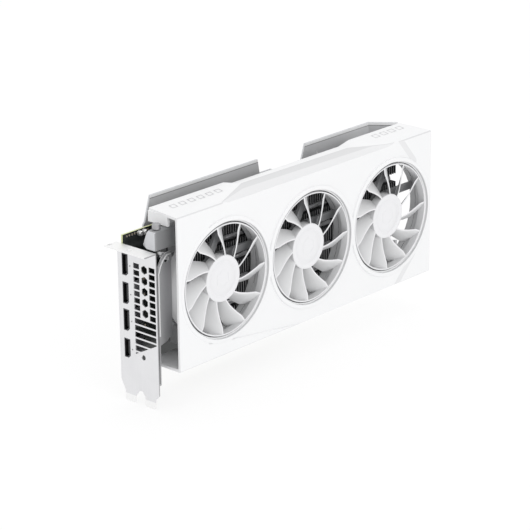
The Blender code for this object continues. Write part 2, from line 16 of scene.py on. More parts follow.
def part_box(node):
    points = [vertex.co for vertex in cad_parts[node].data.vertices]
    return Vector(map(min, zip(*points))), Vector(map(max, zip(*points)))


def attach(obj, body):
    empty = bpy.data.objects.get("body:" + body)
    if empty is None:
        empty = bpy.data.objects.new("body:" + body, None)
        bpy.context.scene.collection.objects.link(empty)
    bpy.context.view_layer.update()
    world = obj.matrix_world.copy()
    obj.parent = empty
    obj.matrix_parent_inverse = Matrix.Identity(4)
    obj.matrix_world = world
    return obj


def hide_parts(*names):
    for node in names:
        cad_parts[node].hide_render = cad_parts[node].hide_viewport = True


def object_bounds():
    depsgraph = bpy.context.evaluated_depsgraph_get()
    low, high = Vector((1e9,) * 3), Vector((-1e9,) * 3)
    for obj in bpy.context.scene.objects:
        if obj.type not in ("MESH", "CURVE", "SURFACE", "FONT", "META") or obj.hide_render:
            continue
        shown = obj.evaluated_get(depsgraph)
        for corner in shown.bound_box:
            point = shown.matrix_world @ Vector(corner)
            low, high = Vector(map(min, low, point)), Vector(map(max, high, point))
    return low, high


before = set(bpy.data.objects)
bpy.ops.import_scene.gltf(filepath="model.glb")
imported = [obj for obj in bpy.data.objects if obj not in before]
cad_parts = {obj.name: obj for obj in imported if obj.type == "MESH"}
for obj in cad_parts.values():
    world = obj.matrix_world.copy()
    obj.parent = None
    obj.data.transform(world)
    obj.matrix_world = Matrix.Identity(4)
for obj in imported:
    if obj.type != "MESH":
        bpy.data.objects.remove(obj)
working_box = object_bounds()
MM = 0.001
TAB_REACH, TAB_LIP = 11.0, 1.7
bracket_low, bracket_high = map(Vector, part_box("io_bracket"))
CORNER = Vector((bracket_low.x + TAB_REACH * MM, bracket_high.y - TAB_LIP * MM, bracket_low.z))
print("card corner in metres:", [round(value, 4) for value in CORNER])


def span(node):
    """A node's lowest and highest corners in card millimetres."""
    low, high = map(Vector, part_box(node))
    return (low - CORNER) / MM, (high - CORNER) / MM


# %% [markdown]
# ## Camera
# The card is seen from its bracket end, from a little above. A long lens keeps its far end almost as
# tall as its near end, as a catalogue picture does. Heading is measured from +y towards +x.

# %% Camera
CAMERA_SPOT = Vector((-1072.35, -1136.51, 666.42))
HEADING, TILT, ROLL = 47.196, 19.918, -0.643
LENS_MM, SENSOR_MM = 157.75, 36.0

camera_data = bpy.data.cameras.new("portrait_camera")
camera_data.lens = LENS_MM
camera_data.sensor_width = SENSOR_MM
camera_data.clip_end = 20
camera = bpy.data.objects.new("portrait_camera", camera_data)
bpy.context.scene.collection.objects.link(camera)
turn = Matrix.Rotation(-math.radians(HEADING), 4, "Z")
turn @= Matrix.Rotation(math.radians(90 - TILT), 4, "X")
turn @= Matrix.Rotation(math.radians(ROLL), 4, "Z")
camera.matrix_world = Matrix.Translation(CORNER + CAMERA_SPOT * MM) @ turn
bpy.context.scene.camera = camera
bpy.context.scene.view_settings.view_transform = "Standard"
print("camera is", round((camera.location - CORNER).length, 2), "m from the card")

# %% [markdown]
# ## Light and floor
# White plastic on a white ground needs light that wraps round it, or it turns grey. The sky is a soft
# white, one broad lamp in front lifts the fans' side, and a weaker one above draws the top edge.
# The floor is a wide pale disc just under the tongues. It glows a little, to dilute the shadow.

# %% Light and floor
SKY_COLOR, SKY_STRENGTH = (1.0, 1.0, 1.0), 0.89
FLOOR_RADIUS = 6.0


def add_lamp(name, spot, aim, size, power):
    data = bpy.data.lights.new(name, "AREA")
    data.shape = "DISK"
    data.size = size
    data.energy = power
    lamp = bpy.data.objects.new(name, data)
    lamp.location = spot
    lamp.rotation_euler = (Vector(aim) - Vector(spot)).to_track_quat("-Z", "Y").to_euler()
    bpy.context.scene.collection.objects.link(lamp)


sky = bpy.data.worlds.new("studio_sky")
bpy.context.scene.world = sky
sky.use_nodes = True
sky_light = sky.node_tree.nodes["Background"]
sky_light.inputs["Color"].default_value = (*SKY_COLOR, 1)
sky_light.inputs["Strength"].default_value = SKY_STRENGTH

middle = (Vector(working_box[0]) + Vector(working_box[1])) / 2
add_lamp("front_lamp", middle + Vector((-0.5, -1.6, 0.9)), middle, 1.4, 6.8)
add_lamp("top_lamp", middle + Vector((0.3, 0.2, 1.6)), middle, 1.2, 4.2)

floor_shape = bmesh.new()
bmesh.ops.create_circle(floor_shape, cap_ends=True, radius=FLOOR_RADIUS, segments=64)
floor_drop = Vector((middle.x, middle.y, working_box[0][2] - 0.0005))
bmesh.ops.translate(floor_shape, verts=floor_shape.verts, vec=floor_drop)
floor_mesh = bpy.data.meshes.new("studio_floor")
floor_shape.to_mesh(floor_mesh)
floor_shape.free()
floor = bpy.data.objects.new("studio_floor", floor_mesh)
bpy.context.scene.collection.objects.link(floor)
print("floor at", round(floor_drop.z, 4), "m")

# %% [markdown]
# ## A small language for finishes
# A finish is a Principled shader with textures in front of it. Writing its maths as Python expressions
# is easier to read than wiring nodes one by one, so a Signal wraps a socket and knows +, - and *.

# %% Finish helpers


class Signal:
    """A socket that can stand in an arithmetic expression."""

    def __init__(self, finish, socket):
        self.finish = finish
        self.socket = socket

    def math(self, operation, first, second):
        return self.finish.node("ShaderNodeMath", {"operation": operation}, {0: first, 1: second})

    def __add__(self, other):
        return self.math("ADD", self, other)

    def __sub__(self, other):
        return self.math("SUBTRACT", self, other)

    def __rsub__(self, other):
        return self.math("SUBTRACT", other, self)

    def __mul__(self, other):
        return self.math("MULTIPLY", self, other)

    __radd__ = __add__
    __rmul__ = __mul__


class Finish:
    """A material with one Principled shader. Constants go straight onto the shader's sockets."""

    def __init__(self, name, color, roughness, metallic=0.0, **constants):
        self.material = bpy.data.materials.new(name)
        self.material.use_nodes = True
        self.tree = self.material.node_tree
        self.shader = self.tree.nodes["Principled BSDF"]
        self.set("Base Color", (*color, 1))
        self.set("Roughness", roughness)
        self.set("Metallic", metallic)
        for socket, value in constants.items():
            self.set(socket.replace("_", " "), value)
        self.material.diffuse_color = (*color, 1)
        self.place = self.node("ShaderNodeTexCoord", output="Object")

    def plug(self, value, socket):
        if isinstance(value, Signal):
            self.tree.links.new(value.socket, socket)
        else:
            socket.default_value = value

    def set(self, name, value):
        self.plug(value, self.shader.inputs[name])

    def node(self, kind, settings=None, values=None, output=0):
        made = self.tree.nodes.new(kind)
        for key, value in (settings or {}).items():
            if key == "stops":
                ramp = made.color_ramp
                while len(ramp.elements) < len(value):
                    ramp.elements.new(0.5)
                for element, (position, color) in zip(ramp.elements, value):
                    element.position = position
                    element.color = (*color, 1)
            else:
                setattr(made, key, value)
        for key, value in (values or {}).items():
            self.plug(value, made.inputs[key])
        return Signal(self, made.outputs[output])

    def stretched(self, x, y, z):
        """Object coordinates in metres, stretched along each axis."""
        return self.node("ShaderNodeMapping", None, {"Vector": self.place, "Scale": (x, y, z)})

    def noise(self, scale, detail=2.0, place=None):
        values = {"Vector": place or self.place, "Scale": scale, "Detail": detail}
        return self.node("ShaderNodeTexNoise", None, values)

    def blend(self, share, first, second):
        values = {0: share, 6: (*first, 1), 7: (*second, 1)}
        return self.node("ShaderNodeMix", {"data_type": "RGBA"}, values, output=2)

    def bump(self, height, strength, distance):
        values = {"Height": height, "Strength": strength, "Distance": distance}
        self.set("Normal", self.node("ShaderNodeBump", None, values))


def moulded(name, color, shade, roughness, grain=2600.0, **constants):
    """Injection-moulded plastic: an even colour, a faint cloud in it, and a fine spark-eroded grain."""
    made = Finish(name, color, roughness, **constants)
    cloud = made.noise(38.0, 4.0)
    speck = made.noise(grain, 2.0)
    made.set("Base Color", made.blend(cloud * 0.5 + speck * 0.3, color, shade))
    made.set("Roughness", cloud * 0.10 + speck * 0.10 + (roughness - 0.10))
    made.bump(speck, 0.12, 0.00012)
    return made.material


def plated(name, color, shade, roughness, direction, wear=0.10, **constants):
    """Bare or plated metal with the fine straight grain of rolled sheet."""
    made = Finish(name, color, roughness, 1.0, **constants)
    grain = made.noise(900.0, 3.0, made.stretched(*direction))
    cloud = made.noise(60.0, 3.0)
    made.set("Base Color", made.blend(cloud * 0.6 + grain * 0.3, color, shade))
    made.set("Roughness", grain * wear + cloud * wear + (roughness - wear))
    made.bump(grain, 0.08, 0.00005)
    return made.material


def coated(name, color, shade, roughness, metallic=0.0, grain=1500.0, **constants):
    """Powder or cast coat: a soft pebbled skin with slight changes of tone."""
    made = Finish(name, color, roughness, metallic, **constants)
    pebble = made.noise(grain, 3.0)
    cloud = made.noise(45.0, 4.0)
    made.set("Base Color", made.blend(cloud * 0.7 + pebble * 0.3, color, shade))
    made.set("Roughness", pebble * 0.16 + (roughness - 0.08))
    made.bump(pebble, 0.25, 0.00012)
    return made.material


# %% [markdown]
# ## The finishes
# The colours are linear values. The plastics are a neutral white, the sheet metal is nickel plate, and
# the fins and sockets are nearly black. The white parts get their satin look from a middling roughness.
# The real shroud is one colour. Its creased bands and duct walls take painted shade here, duller tones,
# because soft light on white washes out lines that the shape alone should draw.

# %% Finishes
WHITE, WHITE_SHADE = (0.865, 0.868, 0.875), (0.83, 0.833, 0.84)
# The shroud's white, also a painted highlight on the backplate's rim.
shroud_white_and_painted_highlight = moulded("shroud_white_and_painted_highlight", WHITE, WHITE_SHADE, 0.42, Specular_IOR_Level=0.4)
# Painted shade: two duller copies of the shroud's white, for its creased bands, front edge and pan
# slopes.
BAND, BAND_SHADE = (0.78, 0.782, 0.79), (0.74, 0.742, 0.75)
CREASE, CREASE_SHADE = (0.70, 0.702, 0.71), (0.66, 0.662, 0.67)
shroud_band_painted_shade = moulded("shroud_band_painted_shade", BAND, BAND_SHADE, 0.46, Specular_IOR_Level=0.3)
shroud_crease_painted_shade = moulded("shroud_crease_painted_shade", CREASE, CREASE_SHADE, 0.50, Specular_IOR_Level=0.3)
# Painted shade: a grey for the shaded white of the duct walls, the rotor rings' walls and the fan
# frames.
duct_painted_shade = moulded("duct_painted_shade", (0.68, 0.683, 0.69), (0.62, 0.623, 0.63), 0.50)
# Rotor tones: painted shade on the blades, painted highlight on the leading edges and the ring rim.
blade_white_painted_shade = moulded("blade_white_painted_shade", (0.71, 0.713, 0.72), (0.65, 0.653, 0.66), 0.40)
hub_white_and_painted_highlight = moulded("hub_white_and_painted_highlight", (0.82, 0.82, 0.83), (0.77, 0.77, 0.79), 0.46)
motor_grey = moulded("motor_grey", (0.28, 0.283, 0.29), (0.22, 0.223, 0.23), 0.50)
inlay_grey = moulded("inlay_grey", (0.56, 0.56, 0.57), (0.50, 0.50, 0.51), 0.35)
socket_black = moulded("socket_black", (0.020, 0.020, 0.022), (0.035, 0.035, 0.037), 0.45)
bracket_nickel = plated("bracket_nickel", (0.83, 0.83, 0.84), (0.70, 0.70, 0.72), 0.34, (0.3, 1, 0.04))
# A brighter and a duller copy of the nickel: painted highlight, and painted shade on the bracket's ear.
BRIGHT, BRIGHT_SHADE = (0.95, 0.95, 0.95), (0.90, 0.90, 0.90)
bracket_painted_highlight = plated("bracket_painted_highlight", BRIGHT, BRIGHT_SHADE, 0.55, (0.3, 1, 0.04), 0.06)
dull_steel_and_painted_shade = plated("dull_steel_and_painted_shade", (0.48, 0.48, 0.49), (0.38, 0.38, 0.39), 0.50, (0.3, 1, 0.04))
shell_nickel = plated("shell_nickel", (0.16, 0.16, 0.17), (0.10, 0.10, 0.11), 0.40, (0.04, 1, 1))
pipe_nickel = plated("pipe_nickel", (0.62, 0.62, 0.63), (0.50, 0.50, 0.51), 0.26, (0.03, 1, 1))
screw_steel = plated("screw_steel", (0.52, 0.53, 0.55), (0.38, 0.39, 0.41), 0.30, (1, 0.2, 0.2))
contact_gold = plated("contact_gold", (0.90, 0.62, 0.22), (0.76, 0.50, 0.16), 0.25, (1, 1, 0.05))
capacitor_tin = plated("capacitor_tin", (0.80, 0.80, 0.79), (0.66, 0.66, 0.65), 0.28, (1, 0.1, 1))
fin_black = coated("fin_black", (0.050, 0.051, 0.054), (0.085, 0.086, 0.090), 0.42, 0.3)
# Painted highlight for the fins' front edges and the first fin's outer side.
fin_edge_painted_highlight = coated("fin_edge_painted_highlight", (0.50, 0.503, 0.51), (0.34, 0.343, 0.35), 0.42, 0.2)
arm_grey = coated("arm_grey", (0.33, 0.333, 0.34), (0.27, 0.273, 0.28), 0.42, 0.35)
cover_grey = coated("cover_grey", (0.62, 0.623, 0.635), (0.56, 0.563, 0.575), 0.50, 0.1)
# The backplate's silver, also a painted highlight on the arm's left end.
silver_paint_and_painted_highlight = coated("silver_paint_and_painted_highlight", (0.66, 0.67, 0.69), (0.60, 0.61, 0.63), 0.42, 0.25)
chip_black = coated("chip_black", (0.022, 0.023, 0.026), (0.034, 0.035, 0.038), 0.50)
ferrite_grey = coated("ferrite_grey", (0.10, 0.10, 0.105), (0.16, 0.16, 0.165), 0.62)
part_tan = coated("part_tan", (0.42, 0.34, 0.24), (0.52, 0.43, 0.32), 0.50)


def board_finish():
    """Black solder mask over copper: the traces show as a faint rectilinear relief."""
    made = Finish("board_black", (0.010, 0.012, 0.012), 0.30, Coat_Weight=0.3, Coat_Roughness=0.2)
    values = {"Vector": made.stretched(1, 0.02, 1), "Scale": 420.0, "Randomness": 0.35}
    settings = {"distance": "CHEBYCHEV", "feature": "F1"}
    trace = made.node("ShaderNodeTexVoronoi", settings, values)
    cloud = made.noise(120.0, 3.0)
    mask, copper = (0.008, 0.010, 0.010), (0.028, 0.034, 0.032)
    made.set("Base Color", made.blend(trace * 0.8 + cloud * 0.4, mask, copper))
    made.set("Roughness", cloud * 0.2 + 0.22)
    made.bump(trace, 0.2, 0.00006)
    return made.material


def edge_finish():
    """The cut edge of the board: layers of pale glass cloth and resin."""
    made = Finish("board_edge", (0.72, 0.76, 0.34), 0.6)
    layer = made.noise(3000.0, 2.0, made.stretched(0.05, 1, 0.05))
    made.set("Base Color", made.blend(layer, (0.56, 0.60, 0.28), (0.84, 0.87, 0.56)))
    made.bump(layer, 0.3, 0.00005)
    return made.material


def floor_finish():
    """A pale sheet lit from below as well, so that the card's shadow all but disappears."""
    made = Finish("floor_white", (0.20, 0.20, 0.20), 0.9, Specular_IOR_Level=0.1)
    made.set("Emission Color", (1, 1, 1, 1))
    made.set("Emission Strength", 0.80)
    cloud = made.noise(3.0, 3.0)
    made.set("Base Color", made.blend(cloud, (0.20, 0.20, 0.20), (0.19, 0.19, 0.19)))
    return made.material


board_black = board_finish()
board_edge = edge_finish()
silicon = plated("silicon", (0.30, 0.31, 0.36), (0.24, 0.25, 0.30), 0.12, (1, 1, 1), 0.02)
floor_mesh.materials.append(floor_finish())
print(len(bpy.data.materials), "finishes")

# %% [markdown]
# ## Shaping helpers
# Sheet and moulded parts are outlines pushed to a thickness, so one helper fills an outline with its
# holes and pushes it. Round parts are profiles spun about an axis. Joining and cutting use Blender's
# exact Boolean on throw-away objects, in millimetres, and the result comes back as a bmesh.

# %% Shaping helpers


def add_box(shape, low, high):
    low, high = Vector(low), Vector(high)
    matrix = Matrix.Translation((low + high) / 2) @ Matrix.Diagonal((*(high - low), 1))
    return bmesh.ops.create_cube(shape, size=1, matrix=matrix)["verts"]


def lift(flat, axis, level):
    a, b = flat
    return {"X": (level, a, b), "Y": (a, level, b), "Z": (a, b, level)}[axis]


def add_plate(shape, outline, axis, start, end, holes=()):
    """Fill an outline with its holes and push it along an axis."""
    edges = []
    for loop in (outline, *holes):
        corners = [shape.verts.new(lift(point, axis, start)) for point in loop]
        edges += [shape.edges.new((corners[i - 1], corners[i])) for i in range(len(corners))]
    filled = bmesh.ops.triangle_fill(shape, use_beauty=True, edges=edges)
    faces = [item for item in filled["geom"] if isinstance(item, bmesh.types.BMFace)]
    pushed = bmesh.ops.extrude_face_region(shape, geom=faces)
    moved = [item for item in pushed["geom"] if isinstance(item, bmesh.types.BMVert)]
    bmesh.ops.translate(shape, verts=moved, vec=lift((0, 0), axis, end - start))


def plate(outline, axis, start, end, holes=()):
    shape = bmesh.new()
    add_plate(shape, outline, axis, start, end, holes)
    return shape


def circle(centre, radius, sides, phase=0.0):
    a, b = centre
    turns = [math.radians(phase) + math.tau * i / sides for i in range(sides)]
    return [(a + radius * math.cos(turn), b + radius * math.sin(turn)) for turn in turns]


def add_lathe(shape, centre, profile, sides):
    """Spin a closed (radius, y) profile about a fan's axis, which runs along y."""
    x, z = centre
    points = [shape.verts.new((x + radius, y, z)) for radius, y in profile]
    edges = [shape.edges.new((points[i - 1], points[i])) for i in range(len(points))]
    bmesh.ops.spin(
        shape,
        geom=points + edges,
        cent=(x, 0, z),
        axis=(0, 1, 0),
        angle=math.tau,
        steps=sides,
        use_merge=True,
    )
    bmesh.ops.remove_doubles(shape, verts=shape.verts, dist=1e-4)


def lathe(centre, profile, sides=96):
    shape = bmesh.new()
    add_lathe(shape, centre, profile, sides)
    return shape


def stand_in(shape):
    mesh = bpy.data.meshes.new("throw_away")
    bmesh.ops.recalc_face_normals(shape, faces=shape.faces)
    shape.to_mesh(mesh)
    shape.free()
    made = bpy.data.objects.new("throw_away", mesh)
    bpy.context.scene.collection.objects.link(made)
    return made


def combine(shape, other, operation):
    """Exact Boolean of two bmeshes. Both are used up, and the result is a new one."""
    first, second = stand_in(shape), stand_in(other)
    step = first.modifiers.new("step", "BOOLEAN")
    step.operation = operation
    step.object = second
    graph = bpy.context.evaluated_depsgraph_get()
    result = bmesh.new()
    result.from_mesh(first.evaluated_get(graph).to_mesh())
    for used in (first, second):
        mesh = used.data
        bpy.data.objects.remove(used)
        bpy.data.meshes.remove(mesh)
    return result


def join(shape, other):
    return combine(shape, other, "UNION")


def carve(shape, other):
    return combine(shape, other, "DIFFERENCE")


def tidy(shape):
    """Merge what a Boolean leaves doubled and dissolve edges inside flat faces."""
    bmesh.ops.remove_doubles(shape, verts=shape.verts, dist=1e-3)
    bmesh.ops.dissolve_limit(
        shape, angle_limit=math.radians(0.6), verts=shape.verts, edges=shape.edges, delimit={"MATERIAL"}
    )


def publish(
    name, shape, finishes, body="card", replaces=(), bevel=0.0, segments=2, smooth=35
):
    """Turn a bmesh in card millimetres into a finished piece that rides on a body."""
    bmesh.ops.scale(shape, verts=shape.verts, vec=Vector((1, 1, 1)) * MM)
    bmesh.ops.translate(shape, verts=shape.verts, vec=CORNER)
    for face in shape.faces:
        face.smooth = True
    for edge in shape.edges:
        edge.smooth = len(edge.link_faces) == 2 and edge.calc_face_angle(0) < math.radians(smooth)
    mesh = bpy.data.meshes.new(name)
    shape.to_mesh(mesh)
    shape.free()
    for finish in finishes:
        mesh.materials.append(finish)
    piece = bpy.data.objects.new(name, mesh)
    bpy.context.scene.collection.objects.link(piece)
    if bevel:
        edge_round = piece.modifiers.new("edge_round", "BEVEL")
        edge_round.width = bevel * MM
        edge_round.segments = segments
        edge_round.limit_method = "ANGLE"
        edge_round.angle_limit = math.radians(smooth)
        edge_round.harden_normals = True
    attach(piece, body)
    if replaces:
        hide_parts(*replaces)
    return piece


def node_shape(node):
    """A merged copy of a working part, in card millimetres."""
    shape = bmesh.new()
    shape.from_mesh(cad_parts[node].data)
    bmesh.ops.translate(shape, verts=shape.verts, vec=-CORNER)
    bmesh.ops.scale(shape, verts=shape.verts, vec=Vector((1, 1, 1)) / MM)
    tidy(shape)
    return shape


def dress(node, finish):
    """Give a working part that keeps its shape a finish of its own."""
    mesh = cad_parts[node].data
    mesh.materials.clear()
    mesh.materials.append(finish)


# %% [markdown]
# ## The shroud's shell
# The shroud is one white moulding, open at the back and at the bracket end. Two creases run along its
# top from a corner on the front edge, and behind them the surface falls to the rear. A loft suits this
# best: the C-shaped section is drawn at stations along x, and faces join each section to the next.

# %% Shroud shell
shroud_low, shroud_high = span("shroud")
FACE = -49.3
LEFT, RIGHT = shroud_low.x, shroud_high.x
BOTTOM, TOP = shroud_low.z, shroud_high.z
REAR = shroud_high.y
WALL = 2.0
TOP_LEFT_SLANT = 4.4
FAN_Z, FIRST_FAN_X, FAN_PITCH = 86.2, 61.4, 92.8
FANS = [(FIRST_FAN_X + i * FAN_PITCH, FAN_Z) for i in range(3)]
OPENING, LIP = 44.3, 47.5
REAR_DROP, FRONT_DROP, BAND_DROP = 2.6, 1.7, 0.8

# x, then y of the two creases, then how far the lower crease, the rear edge and the front edge drop.
STATIONS = (
    (LEFT, -47.6, -48.1, 0, 0, 0),
    (58.5, -47.6, -48.1, 0, 0, 0),
    (66.0, -44.2, -45.4, 0.3, 0, FRONT_DROP),
    (92.6, -31.6, -36.2, BAND_DROP, 0.1, FRONT_DROP),
    (99.6, -28.3, -36.1, BAND_DROP, REAR_DROP, FRONT_DROP),
    (216.7, -29.8, -39.2, BAND_DROP, REAR_DROP, FRONT_DROP),
    (221.0, -32.6, -39.3, BAND_DROP, REAR_DROP, FRONT_DROP),
    (233.0, -39.9, -41.0, 0.3, 0, FRONT_DROP),
    (244.0, -45.8, -46.4, 0.3, 0, FRONT_DROP),
    (250.5, -47.6, -48.1, 0, 0, 0),
    (RIGHT, -47.6, -48.1, 0, 0, 0),
)


def crease_at(x, which):
    """y of a crease (1 the upper, 2 the lower) at a place along the card."""
    for before, after in zip(STATIONS, STATIONS[1:]):
        if x <= after[0]:
            share = (x - before[0]) / (after[0] - before[0])
            return before[which] + (after[which] - before[which]) * share
    return STATIONS[-1][which]


def shroud_section(crease_y, band_y, band_z, rear_z, front_z, inset):
    face, bottom = FACE + inset, BOTTOM + inset
    return [
        (REAR, rear_z - inset),
        (crease_y + inset / 2, TOP - inset),
        (band_y + inset / 2, band_z - inset),
        (face + 0.8, front_z - inset),
        (face, front_z - inset - 0.8),
        (face, bottom + 0.8),
        (face + 0.8, bottom),
        (REAR, bottom),
    ]


def shroud_shell():
    shape = bmesh.new()
    rows = []
    for x, crease_y, band_y, *drops in STATIONS:
        levels = [TOP - drop for drop in drops]
        outside = shroud_section(crease_y, band_y, *levels, 0)
        inside = shroud_section(crease_y, band_y, *levels, WALL)
        row = []
        for y, z in outside + inside[::-1]:
            slant = TOP_LEFT_SLANT * (y - FACE) / (REAR - FACE) * (x == LEFT and z > FAN_Z)
            row.append(shape.verts.new((x + slant, y, z)))
        rows.append(row)
    for before, after in zip(rows, rows[1:]):
        for i in range(len(before)):
            shape.faces.new((before[i - 1], before[i], after[i], after[i - 1]))
    for row in (rows[0], rows[-1]):
        for i in range(len(row) // 2 - 1):
            shape.faces.new((row[i], row[i + 1], row[-2 - i], row[-1 - i]))
    bmesh.ops.triangulate(shape, faces=shape.faces[:])
    end = bmesh.new()
    add_box(end, (RIGHT - WALL, FACE + 0.8, BOTTOM + 0.8), (RIGHT, REAR, TOP - 0.8))
    shape = join(shape, end)
    wall = bmesh.new()
    add_box(wall, (14.0, -37.5, 136.3), (16.0, -18.0, 144.5))
    return join(shape, wall)


# %% [markdown]
# ## The shroud's face
# The middle of the face lies a little lower than its ends. The step is a slanted band, so the cutter is
# a shallow pan with sloping sides: two outlines bridged into one. A raised lip and a round duct follow
# each fan, turned on the lathe so that their edges are truly round. A ledge in the duct closes the view
# past the rotor's ring. Blank slanted frames lie on the top face, where a maker would put its marks.

# %% Shroud face
PAN_DEPTH = 0.8


def pan_outline(shrink):
    """The lowered middle of the face as (x, z). Its right side slopes more than its left."""
    right = 5.8 * shrink
    left = 0.9 * shrink
    return [
        (59.6 + left, TOP + 1),
        (43.5 + left, 130.6),
        (41.4 + left, 42.1),
        (64.7 + left, 38.9),
        (129.3 + left, 30.4),
        (150.0 + left, BOTTOM - 1),
        (256.0 - right, BOTTOM - 1),
        (276.6 - right, 48.3),
        (276.6 - right, 126.6),
        (260.0 - right, TOP + 1),
    ]


def pan_cutter():
    shape = bmesh.new()
    loops = []
    for shrink, y in ((0, FACE - 0.01), (1, FACE + PAN_DEPTH)):
        corners = [shape.verts.new((x, y, z)) for x, z in pan_outline(shrink)]
        loops.append([shape.edges.new((corners[i - 1], corners[i])) for i in range(len(corners))])
        shape.faces.new(corners)
    bmesh.ops.bridge_loops(shape, edges=loops[0] + loops[1])
    return shape


def lip_profile():
    """The raised lip and the duct behind it, as a closed (radius, y) section."""
    proud = FACE - 0.5
    return [
        (OPENING + 0.35, proud),
        (LIP - 1.1, proud),
        (LIP - 0.3, proud + 0.25),
        (LIP, FACE + 0.2),
        (LIP, FACE + 1.6),
        (OPENING + 1.4, FACE + 1.6),
        (OPENING + 1.4, -37.8),
        (OPENING - 1.0, -37.8),
        (OPENING - 1.0, -47.4),
        (OPENING - 0.05, -47.7),
        (OPENING, proud + 0.35),
    ]


def inlay_bars():
    """Corner, width and depth of each slanted frame on the top face."""
    for i in range(6):
        yield 26.0 + i * 9.2, -31.2, 5.6, 6.4
    for i in range(4):
        yield 250.5 + i * 9.6, -29.6, 6.2, 6.8


def bar_outline(x, y, width, depth, grow=0.0):
    lean = 1.8
    return [
        (x - grow, y - grow),
        (x + width + grow, y - grow),
        (x + width + lean + grow, y + depth + grow),
        (x + lean - grow, y + depth + grow),
    ]


shroud = carve(shroud_shell(), pan_cutter())
for centre in FANS:
    shroud = carve(shroud, plate(circle(centre, OPENING + 0.7, 128), "Y", FACE - 0.2, -36.0))
    shroud = join(shroud, lathe(centre, lip_profile(), 128))
vent = bmesh.new()
add_box(vent, (RIGHT - 3, -36.3, 44), (RIGHT + 3, REAR + 3, 130))
shroud = carve(shroud, vent)
SHROUD_FINISHES = [shroud_white_and_painted_highlight, shroud_band_painted_shade, shroud_crease_painted_shade, duct_painted_shade]


def shroud_finish(face):
    """Which of the shroud's finishes a face takes: the creased bands, front edge and pan slopes take
    a duller painted shade, and the ducts a grey painted shade.
    """
    spot, normal = face.calc_center_median(), face.normal
    near = min(math.hypot(spot.x - x, spot.z - z) for x, z in FANS)
    if near < OPENING + 2.0 and spot.y > FACE - 0.2 and abs(normal.y) < 0.9:
        return 3
    if normal.z > 0.3 and spot.z > TOP - 3 and spot.y < FACE + 0.8:
        return 2
    if normal.z > 0.3 and spot.z > TOP - 3:
        if 58.5 < spot.x < 250.5 and spot.y < crease_at(spot.x, 1):
            return 1 if spot.y < crease_at(spot.x, 2) else 2
        return 0
    return int(FACE < spot.y < FACE + PAN_DEPTH - 0.05 and -0.9999 < normal.y < -0.3 and near > LIP)


shroud.normal_update()
for face in shroud.faces:
    face.material_index = shroud_finish(face)
tidy(shroud)
print("shroud faces:", len(shroud.faces))
publish(
    "shroud_moulding", shroud, SHROUD_FINISHES, replaces=["shroud"], bevel=0.3
)

inlays = bmesh.new()
for x, y, width, depth in inlay_bars():
    hole = bar_outline(x, y, width, depth, -0.8)
    add_plate(inlays, bar_outline(x, y, width, depth), "Z", TOP - 0.2, TOP + 0.06, [hole])
publish("top_inlays", inlays, [inlay_grey])

# %% [markdown]
# ## Fan rotors
# A rotor is a hub cup, eleven swept blades and a thin outer ring, moulded in one. Each blade starts as a
# grid. Its points are rolled onto the hub's cylinder and swept back. Solidify could give it a
# thickness, but pushing both sides directly lets the blade thin out towards its trailing edge.

# %% Fan rotors
HUB, HUB_FACE, HUB_BACK = 17.75, -45.4, -38.4
RING, RING_FACE, RING_BACK = 42.4, -48.3, -42.3
BLADES = 11
# Radius, then the angles of the leading and the trailing edge.
BLADE_EDGES = (
    (16.75, -16.9, -34.6),
    (26.0, -6.8, -24.3),
    (31.0, -2.3, -20.4),
    (36.5, 1.9, -17.3),
    (41.9, 2.6, -12.0),
)
ROOT_FRONT, TIP_FRONT, BLADE_BACK = -45.2, -48.0, -38.7
BLADE_ROOT, BLADE_TIP = BLADE_EDGES[0][0], BLADE_EDGES[-1][0]


def edge_angles(radius):
    for before, after in zip(BLADE_EDGES, BLADE_EDGES[1:]):
        if radius <= after[0] + 1e-6:
            share = (radius - before[0]) / (after[0] - before[0])
            return [before[i] + (after[i] - before[i]) * share for i in (1, 2)]
    return BLADE_EDGES[-1][1:]


def blade_front(radius):
    """How far forward the leading edge lies at this radius."""
    return ROOT_FRONT + (TIP_FRONT - ROOT_FRONT) * (radius - BLADE_ROOT) / (BLADE_TIP - BLADE_ROOT)


def blade_spot(out, back, side, number):
    """A point of a blade: out from hub to ring, back from leading to trailing edge, side -1 or 1."""
    radius = BLADE_ROOT + (BLADE_TIP - BLADE_ROOT) * out
    lead, trail = edge_angles(radius)
    angle = math.radians(lead + (trail - lead) * back ** 0.85 + 360 * number / BLADES)
    thickness = 1.15 - 0.6 * back
    angle += side * thickness / 2 / radius
    depth = blade_front(radius) + (BLADE_BACK - blade_front(radius)) * back
    return Vector((radius * math.cos(angle), depth, radius * math.sin(angle)))


def add_blade(shape, centre, number, spans=10, chords=8):
    """Shape a thin cube grid into one blade."""
    grid = bmesh.new()
    bmesh.ops.create_cube(grid, size=1, matrix=Matrix.Translation((0.5, 0.5, 0)))
    across = [e for e in grid.edges if abs((e.verts[0].co - e.verts[1].co).x) > 0.5]
    bmesh.ops.subdivide_edges(grid, edges=across, cuts=spans - 1, use_grid_fill=True)
    along = [e for e in grid.edges if abs((e.verts[0].co - e.verts[1].co).y) > 0.5]
    bmesh.ops.subdivide_edges(grid, edges=along, cuts=chords - 1, use_grid_fill=True)
    for vert in grid.verts:
        vert.co = blade_spot(vert.co.x, vert.co.y, vert.co.z * 2, number)
    bmesh.ops.translate(grid, verts=grid.verts, vec=(centre[0], 0, centre[1]))
    mesh = bpy.data.meshes.new("throw_away")
    grid.to_mesh(mesh)
    grid.free()
    shape.from_mesh(mesh)
    bpy.data.meshes.remove(mesh)


